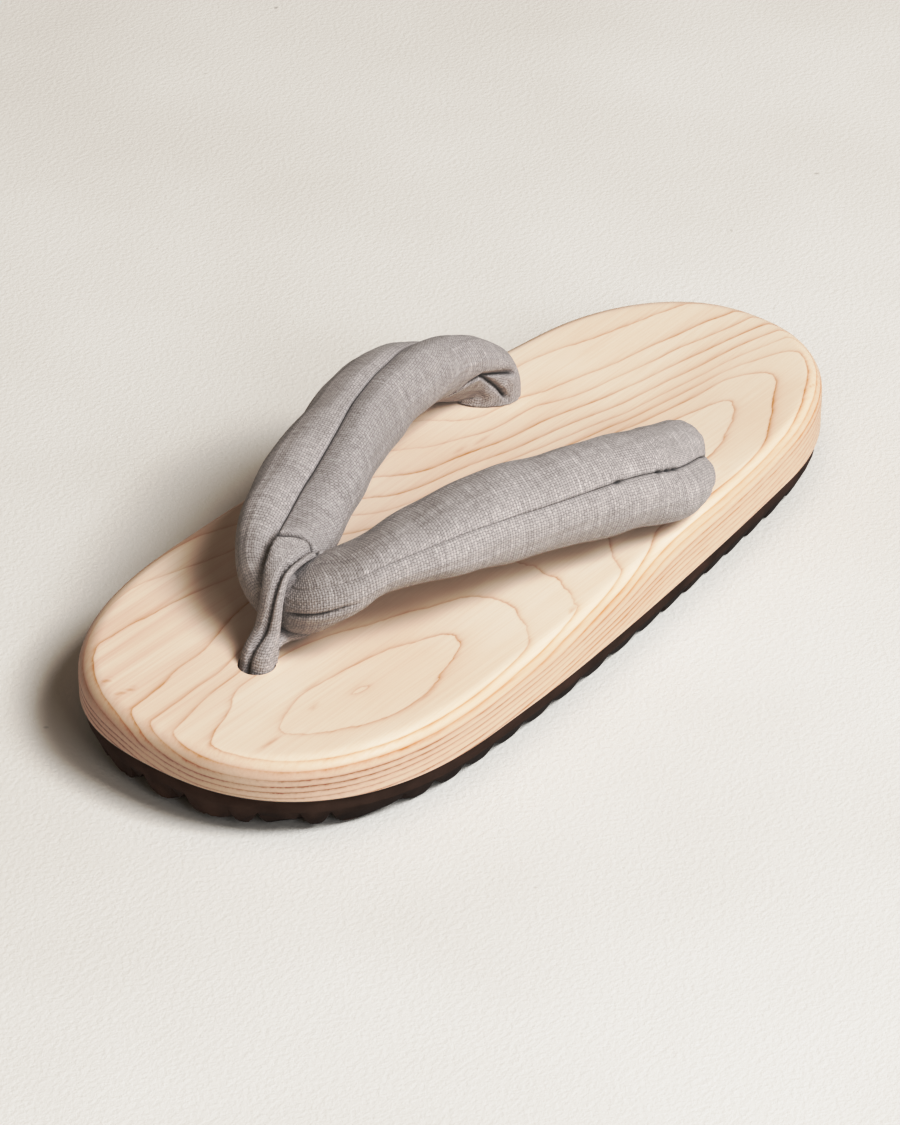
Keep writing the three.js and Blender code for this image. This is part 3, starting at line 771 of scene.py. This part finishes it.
def woven_linen(name):
    cloth, shader = start_material(name)
    uv = add_node(cloth, "UVMap", uv_map="weave").outputs[0]
    painted_shade = add_node(cloth, "Attribute", attribute_name="painted_shade").outputs["Fac"]
    drift = add_node(cloth, "TexNoise", {"Vector": uv, "Scale": 320.0, "Detail": 2.0})
    shift = add_node(cloth, "VectorMath", {0: drift.outputs["Color"], 1: (0.5, 0.5, 0.5)},
                     operation="SUBTRACT")
    bent = add_node(cloth, "VectorMath", {0: shift.outputs[0], "Scale": THREAD_DRIFT}, operation="SCALE")
    threads = add_node(cloth, "VectorMath", {0: uv, 1: bent.outputs[0]}, operation="ADD")
    split = add_node(cloth, "SeparateXYZ", {0: threads.outputs[0]})
    along = calc(cloth, "DIVIDE", split.outputs[0], RIB_PITCH)
    around = calc(cloth, "DIVIDE", split.outputs[1], THREAD_PITCH)

    def rounded_threads(way):
        turned = times(cloth, way, math.pi)
        return calc(cloth, "ABSOLUTE", calc(cloth, "SINE", turned))

    rib = rounded_threads(along)
    warp = rounded_threads(around)
    crossing = calc(cloth, "ADD", calc(cloth, "FLOOR", along), calc(cloth, "FLOOR", around))
    parity = calc(cloth, "PINGPONG", crossing, 1.0)
    rib_top = calc(cloth, "MULTIPLY_ADD", parity, RIB["on_top"], times(cloth, rib, RIB["height"]))
    other = calc(cloth, "SUBTRACT", 1.0, parity)
    warp_top = calc(cloth, "MULTIPLY_ADD", other, WARP["on_top"], times(cloth, warp, WARP["height"]))
    height = calc(cloth, "MAXIMUM", rib_top, warp_top)
    rib_tone = stretched_noise(cloth, uv, (1.0 / RIB_PITCH, 55.0, 1.0), detail=2.0)
    warp_tone = stretched_noise(cloth, uv, (70.0, 1.1 / THREAD_PITCH, 1.0), detail=2.0)
    mottle = stretched_noise(cloth, uv, (900.0, 900.0, 1.0), detail=3.0, roughness=0.65)
    slubs = stretched_noise(cloth, uv, (980.0, 150.0, 1.0), detail=2.0)
    tone = calc(cloth, "MULTIPLY_ADD", rib_tone, RIB["tone"], times(cloth, warp_tone, WARP["tone"]))
    # The gaps between the threads are painted darker, as shade
    depth = remap(cloth, height, 0.35, 1.0, 0.82, 0.0)
    cell = add_node(cloth, "CombineXYZ", {0: calc(cloth, "FLOOR", along),
                                          1: calc(cloth, "FLOOR", around)})
    pepper = add_node(cloth, "TexWhiteNoise", {"Vector": cell.outputs[0]},
                      noise_dimensions="2D").outputs["Value"]
    melange = calc(cloth, "ADD", remap(cloth, mottle, 0.35, 0.65, 0.08, 0.0),
                   remap(cloth, pepper, 0.0, 1.0, 0.17, -0.07))
    uneven = calc(cloth, "ADD", remap(cloth, tone, 0.36, 0.62, 0.25, -0.03), melange)
    ground = mix_colours(cloth, calc(cloth, "ADD", depth, uneven), LINEN, LINEN_DARK)
    light = times(cloth, remap(cloth, slubs, 0.58, 0.76, 0.0, 0.45),
                  remap(cloth, height, 0.3, 1.0, 0.2, 1.0))
    colour = mix_colours(cloth, light, ground, LINEN_LIGHT)
    # The painted shade darkens the cloth toward near black
    connect(cloth, mix_colours(cloth, painted_shade, colour, PAINTED_SHADE_COLOUR), shader.inputs["Base Color"])
    shader.inputs["Roughness"].default_value = 0.92
    shader.inputs["Specular IOR Level"].default_value = 0.15
    shader.inputs["Sheen Weight"].default_value = 0.15
    shader.inputs["Sheen Roughness"].default_value = 0.55
    relief = calc(cloth, "MULTIPLY_ADD", slubs, SLUB_RELIEF, height)
    add_bump(cloth, shader, relief, strength=0.60, distance=0.24 * MM)
    return cloth


linen = woven_linen("woven_linen")
strap = put_in_scene("strap_pad", cloth_tube("strap_pad", *strap_arm(1)))
right_arm = put_in_scene("right_arm", cloth_tube("right_arm", *strap_arm(-1)))
strap_mesh = combine(strap, right_arm, "joining", "UNION", "MANIFOLD")
finish_surface(strap_mesh, CLOTH_SHARP_ANGLE, linen)
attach(strap, "root")
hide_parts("strap")


# Toe loop: a narrow band of the same linen, its two edges rolled in and sewn together, up from
# the front hole, over the fold of the strap and back under it into the hole.
STRAND_COLUMNS = ("x", "y", "z", "half_width", "half_thick", "drape", "groove")
FRONT_STRAND = (
    (91.5, 0.0, -6.0, 4.8, 4.4, 0.0, -0.1),
    (90.9, 0.0, 1.5, 4.6, 3.0, 0.0, -0.1),
    (86.8, -0.2, 7.6, 3.8, 2.0, 0.0, 0.15),
    (83.9, -0.7, 16.3, 3.4, 1.9, 0.0, 0.38),
    (80.6, -1.6, 21.2, 4.0, 1.7, 0.15, 0.48),
    (75.0, -2.6, 22.2, 5.2, 1.6, 0.4, 0.55),
    (69.4, -3.0, 21.2, 5.6, 1.6, 0.55, 0.55),
    (64.4, -2.2, 18.0, 5.0, 1.6, 0.6, 0.50),
    (62.0, -0.8, 12.0, 4.2, 1.6, 0.0, 0.30),
)
BACK_STRAND = (
    (62.0, -0.8, 14.5, 4.2, 1.6, 0.0, 0.0),
    (61.6, 0.0, 9.0, 4.0, 1.6, 0.0, 0.0),
    (64.6, 0.0, 3.6, 3.9, 1.5, 0.0, 0.0),
    (71.0, 0.0, 1.5, 3.8, 1.5, 0.0, 0.0),
    (77.0, 0.3, 2.0, 3.7, 1.5, 0.0, 0.0),
    (82.5, 0.5, 4.0, 3.6, 1.6, 0.0, 0.0),
    (87.2, 0.4, 3.4, 3.6, 1.8, 0.0, 0.0),
    (88.8, 0.0, -6.0, 3.5, 1.9, 0.0, 0.0),
)
LOOP_RING = 96
LOOP_STEPS = 14
LOOP_FULLNESS = 2.6
LOOP_CROWDING = 0.45
# Groove where the rolled edges meet: its depth, its spread and how dark it is painted, as shade
ROLL_GROOVE = {"depth": 1.4, "spread": 0.85, "shade": 0.5}
# The fold where the band dips behind the crest, as a line over its outer face, sunk and painted
# dark as shade
LOOP_FOLD = {"line": ((73.5, -9.0, 51.5), (72.1, -6.7, 51.0), (67.8, -4.0, 48.4), (67.0, -2.5, 47.2),
                      (68.1, 0.5, 47.0), (70.5, 4.0, 47.5)), "depth": 0.9, "width": 0.55, "shade": 0.8}


def strand_frame(rows, place):
    """Middle of each section of a strand, which way its outer face looks and its other values."""
    centre, along, value = follow(STRAND_COLUMNS, rows, place)
    outer = unit(np.stack([along[:, 2], np.zeros(len(place)), -along[:, 0]], 1))
    return centre, outer, value


def loop_strand(rows):
    """Points of one strand ring by ring, the cloth's length and girth there and its painted shade."""
    place = np.linspace(0, len(rows) - 1, LOOP_STEPS * (len(rows) - 1) + 1)
    centre, outer, value = strand_frame(rows, place)
    even = 2 * math.pi * np.arange(LOOP_RING) / LOOP_RING
    angle = even - LOOP_CROWDING * np.sin(even)
    across, over = full_round(angle, LOOP_FULLNESS)
    wide = value["half_width"][:, None] * across[None, :]
    from_groove = wide - (value["groove"] * value["half_width"])[:, None]
    on_top = (over > 0)[None, :]
    groove = on_top * np.exp(-(from_groove / ROLL_GROOVE["spread"]) ** 2)
    thick = value["half_thick"][:, None] * over[None, :] - ROLL_GROOVE["depth"] * groove
    points = centre[:, None, :] + outer[:, None, :] * thick[..., None]
    points[..., 1] += wide
    points[..., 2] += value["drape"][:, None] * np.abs(points[..., 1])
    # The groove is painted dark, as shade
    shade = ROLL_GROOVE["shade"] * groove ** 3
    outer_face = outer[:, None, :] * on_top[..., None]
    away = distance_to_line(points, outer_face, LOOP_FOLD["line"]) / LOOP_FOLD["width"]
    fold = np.exp(-away ** 2) * on_top
    points = points - outer[:, None, :] * (LOOP_FOLD["depth"] * fold)[..., None]
    shade = np.maximum(shade, LOOP_FOLD["shade"] * fold)
    return points, length_of(points, 0), girth_of(points), shade


toe_loop = put_in_scene("toe_band", cloth_tube("toe_band", *loop_strand(FRONT_STRAND)))
back_strand = put_in_scene("back_strand", cloth_tube("back_strand", *loop_strand(BACK_STRAND)))
loop_mesh = combine(toe_loop, back_strand, "sewing", "UNION", "EXACT")
finish_surface(loop_mesh, CLOTH_SHARP_ANGLE, linen)
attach(toe_loop, "root")
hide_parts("toe_loop")


# Sewing thread: running stitches of grey linen thread that hold the rolled edges of the toe loop
# and the lower seam of the left arm. Each stitch is a short piece of thread set along a line.
THREAD_GREY = (0.12, 0.108, 0.10, 1.0)
STITCH = {"Pitch": 1.9 * MM, "Half Length": 0.60 * MM, "Thickness": 0.22 * MM}
# Rows of the toe loop between which a line of stitches runs, with its number of points
GROOVE_STITCHES = {"from_row": 1.15, "to_row": 6.2, "points": 90, "lift": 0.1}
EDGE_STITCHES = {"from_row": 3.2, "to_row": 5.4, "points": 60, "lift": 0.62, "share": -0.88}
LOWER_SEAM = {"line": STRAP_CREASES[2]["line"][1:4], "points": 40}


def linen_thread():
    thread, shader = start_material("linen_thread")
    place = add_node(thread, "TexCoord").outputs["Object"]
    twist = stretched_noise(thread, place, (2600.0, 2600.0, 2600.0), detail=2.0)
    shade = remap(thread, twist, 0.3, 0.7, 0.0, 0.6)
    colour = mix_colours(thread, shade, THREAD_GREY, LINEN_DARK)
    connect(thread, colour, shader.inputs["Base Color"])
    shader.inputs["Roughness"].default_value = 0.85
    add_bump(thread, shader, twist, strength=0.4, distance=0.1 * MM)
    return thread


def stitch_tree(thread):
    """Short threads set at an even pitch along a line of edges."""
    tree = bpy.data.node_groups.new("stitch_row", "GeometryNodeTree")
    tree.interface.new_socket("Line", in_out="INPUT", socket_type="NodeSocketGeometry")
    for name in STITCH:
        tree.interface.new_socket(name, in_out="INPUT", socket_type="NodeSocketFloat")
    tree.interface.new_socket("Stitches", in_out="OUTPUT", socket_type="NodeSocketGeometry")
    nodes = tree.nodes
    given = nodes.new("NodeGroupInput")
    made = nodes.new("NodeGroupOutput")
    curve = nodes.new("GeometryNodeMeshToCurve")
    spots = nodes.new("GeometryNodeResampleCurve")
    spots.mode = "LENGTH"
    tangent = nodes.new("GeometryNodeInputTangent")
    turned = nodes.new("FunctionNodeAlignRotationToVector")
    turned.axis = "Z"
    stitch = nodes.new("GeometryNodeMeshUVSphere")
    stitch.inputs["Segments"].default_value = 8
    stitch.inputs["Rings"].default_value = 6
    stitch.inputs["Radius"].default_value = 1.0
    size = nodes.new("ShaderNodeCombineXYZ")
    placed = nodes.new("GeometryNodeInstanceOnPoints")
    real = nodes.new("GeometryNodeRealizeInstances")
    dressed = nodes.new("GeometryNodeSetMaterial")
    dressed.inputs["Material"].default_value = thread
    for start, end in (
        (given.outputs["Line"], curve.inputs[0]),
        (curve.outputs[0], spots.inputs["Curve"]),
        (given.outputs["Pitch"], spots.inputs["Length"]),
        (tangent.outputs[0], turned.inputs["Vector"]),
        (given.outputs["Thickness"], size.inputs[0]),
        (given.outputs["Thickness"], size.inputs[1]),
        (given.outputs["Half Length"], size.inputs[2]),
        (spots.outputs[0], placed.inputs["Points"]),
        (stitch.outputs["Mesh"], placed.inputs["Instance"]),
        (turned.outputs[0], placed.inputs["Rotation"]),
        (size.outputs[0], placed.inputs["Scale"]),
        (placed.outputs[0], real.inputs[0]),
        (real.outputs[0], dressed.inputs["Geometry"]),
        (dressed.outputs[0], made.inputs[0]),
    ):
        tree.links.new(start, end)
    return tree


def smooth_line(corners, count):
    corners = np.array(corners, float)
    fine = np.linspace(0, len(corners) - 1, count)
    return np.stack([along_table(corners[:, k], fine) for k in range(3)], 1)


def on_front_strand(row):
    """A line on the outer face of the front strand, at a share of its half width or in its groove."""
    place = np.linspace(row["from_row"], row["to_row"], row["points"])
    centre, outer, value = strand_frame(FRONT_STRAND, place)
    if "share" in row:
        across = row["share"] * value["half_width"]
        lift = row["lift"] * value["half_thick"]
    else:
        across = value["groove"] * value["half_width"]
        lift = value["half_thick"] - ROLL_GROOVE["depth"] + row["lift"]
    line = centre + outer * lift[:, None]
    line[:, 1] += across
    line[:, 2] += value["drape"] * np.abs(line[:, 1])
    return line


stitch_lines = [on_front_strand(GROOVE_STITCHES), on_front_strand(EDGE_STITCHES)]
stitch_lines.append(smooth_line(LOWER_SEAM["line"], LOWER_SEAM["points"]))
line_points = []
line_edges = []
for line in stitch_lines:
    first = len(line_points)
    line_points.extend((line * MM).tolist())
    line_edges.extend((first + k, first + k + 1) for k in range(len(line) - 1))
stitch_mesh = bpy.data.meshes.new("stitches")
stitch_mesh.from_pydata(line_points, line_edges, [])
stitches = put_in_scene("stitches", stitch_mesh)
rows = stitch_tree(linen_thread())
sewn = stitches.modifiers.new("stitch_row", "NODES")
sewn.node_group = rows
for socket in rows.interface.items_tree:
    if socket.in_out == "INPUT" and socket.name in STITCH:
        sewn[socket.identifier] = STITCH[socket.name]
as_plain_mesh(stitches).shade_smooth()
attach(stitches, "root")


# Studio: a pale plastered floor, a soft key light from the right, a weak fill and a warm surround.
# The camera looks down on the toe from the photograph's angle, with a long lens.
FLOOR_PALE = (0.800, 0.770, 0.725, 1.0)
FLOOR_SHADE = (0.755, 0.722, 0.675, 1.0)
FLOOR_SPECK = (0.30, 0.27, 0.24, 1.0)
KEY_LIGHT = {"turn": 97.0, "height": 50.0, "away": 3.0, "size": 1.2, "power": 93.0}
FILL_LIGHT = {"turn": 66.0, "height": 31.0, "away": 3.0, "size": 1.0, "power": 24.0}
LIGHT_COLOUR = (0.93, 0.965, 1.0)
SURROUND = {"colour": (1.0, 0.80, 0.60, 1.0), "strength": 0.20}
CAMERA_PLACE = Vector((0.8452, 0.6686, 0.7273))
CAMERA_AIM = Vector((0.02496, 0.01067, 0.025))
CAMERA_LENS = 190.0
# How the film answers to light: deeper shadows and held back highlights
FILM_RESPONSE = ((0.03, 0.019), (0.10, 0.058), (0.20, 0.140), (0.33, 0.305), (0.50, 0.50), (0.80, 0.80))
FILM_WHITE = 0.90
ALL_COLOURS = 3
FLOOR_REACH = 4.0


def plaster():
    coat, shader = start_material("plaster")
    place = add_node(coat, "TexCoord").outputs["Object"]
    clouds = stretched_noise(coat, place, (9.0, 9.0, 9.0))
    grit = stretched_noise(coat, place, (700.0, 700.0, 700.0), detail=4.0, roughness=0.6)
    specks = stretched_noise(coat, place, (160.0, 160.0, 160.0), detail=1.0)
    shade = remap(coat, clouds, 0.35, 0.65, 0.0, 1.0)
    ground = mix_colours(coat, shade, FLOOR_PALE, FLOOR_SHADE)
    colour = mix_colours(coat, remap(coat, specks, 0.79, 0.83, 0.0, 0.5), ground, FLOOR_SPECK)
    connect(coat, colour, shader.inputs["Base Color"])
    shader.inputs["Roughness"].default_value = 0.85
    shader.inputs["Specular IOR Level"].default_value = 0.2
    add_bump(coat, shader, grit, strength=0.45, distance=0.6 * MM)
    return coat


floor_mesh = bpy.data.meshes.new("floor")
turns = ((-1, -1), (1, -1), (1, 1), (-1, 1))
floor_mesh.from_pydata([(x * FLOOR_REACH, y * FLOOR_REACH, 0) for x, y in turns], [], [(0, 1, 2, 3)])
floor = put_in_scene("floor", floor_mesh)
floor_mesh.materials.append(plaster())

for name, lamp in (("key_light", KEY_LIGHT), ("fill_light", FILL_LIGHT)):
    light = bpy.data.objects.new(name, bpy.data.lights.new(name, "AREA"))
    bpy.context.scene.collection.objects.link(light)
    light.data.shape = "SQUARE"
    light.data.size = lamp["size"]
    light.data.energy = lamp["power"]
    light.data.color = LIGHT_COLOUR
    turned = math.radians(lamp["turn"])
    raised = math.radians(lamp["height"])
    level = Vector((math.cos(turned), math.sin(turned), 0)) * math.cos(raised)
    toward_light = level + Vector((0, 0, math.sin(raised)))
    light.location = toward_light * lamp["away"]
    light.rotation_euler = toward_light.to_track_quat("Z", "Y").to_euler()

world = bpy.data.worlds.new("surround")
world.use_nodes = True
sky = world.node_tree.nodes["Background"]
sky.inputs["Color"].default_value = SURROUND["colour"]
sky.inputs["Strength"].default_value = SURROUND["strength"]
bpy.context.scene.world = world

lens = bpy.data.cameras.new("camera")
camera = bpy.data.objects.new("camera", lens)
bpy.context.scene.collection.objects.link(camera)
camera.location = CAMERA_PLACE
camera.rotation_euler = (CAMERA_PLACE - CAMERA_AIM).to_track_quat("Z", "Y").to_euler()
lens.sensor_fit = "HORIZONTAL"
lens.sensor_width = 36.0
lens.lens = CAMERA_LENS
lens.clip_start = 0.05
bpy.context.scene.camera = camera
film = bpy.context.scene.view_settings
film.view_transform = "Standard"
film.use_curve_mapping = True
response = film.curve_mapping.curves[ALL_COLOURS]
response.points[1].location = (1.0, FILM_WHITE)
for light_in, light_out in FILM_RESPONSE:
    response.points.new(light_in, light_out)
film.curve_mapping.update()
